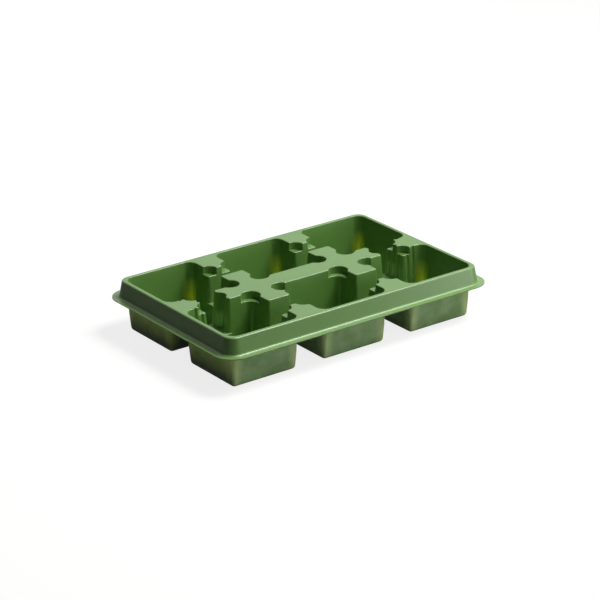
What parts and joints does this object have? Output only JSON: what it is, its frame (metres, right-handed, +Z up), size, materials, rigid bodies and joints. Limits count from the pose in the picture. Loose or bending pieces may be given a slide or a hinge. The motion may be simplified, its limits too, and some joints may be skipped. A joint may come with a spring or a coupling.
{
  "type": "pot carrier tray",
  "caption": "Rectangular formed-sheet carrier tray with square drafted pockets, cross posts, a bridge, buttresses and a stepped flange, for holding and moving nursery pots.",
  "frame": {"origin": "centre of the footprint, on the plane of the six feet", "axes": "+X along the length, +Y from the front long side to the rear one, +Z up"},
  "size_m": [0.6, 0.4, 0.101],
  "materials": {
    "formed_sheet": "satin, slightly translucent polypropylene sheet"
  },
  "bodies": {
    "root": {"flange": "formed_sheet", "rim": "formed_sheet", "buttress_front_left": "formed_sheet", "buttress_front_right": "formed_sheet", "buttress_rear_left": "formed_sheet", "buttress_rear_right": "formed_sheet", "buttress_left_end": "formed_sheet", "buttress_right_end": "formed_sheet", "post_left": "formed_sheet", "post_right": "formed_sheet", "bridge": "formed_sheet", "saddle_front_left": "formed_sheet", "saddle_front_right": "formed_sheet", "saddle_rear_left": "formed_sheet", "saddle_rear_right": "formed_sheet", "saddle_left_end": "formed_sheet", "saddle_right_end": "formed_sheet", "cup_front_left": "formed_sheet", "cup_front_middle": "formed_sheet", "cup_front_right": "formed_sheet", "cup_rear_left": "formed_sheet", "cup_rear_middle": "formed_sheet", "cup_rear_right": "formed_sheet"}
  },
  "joints": []
}
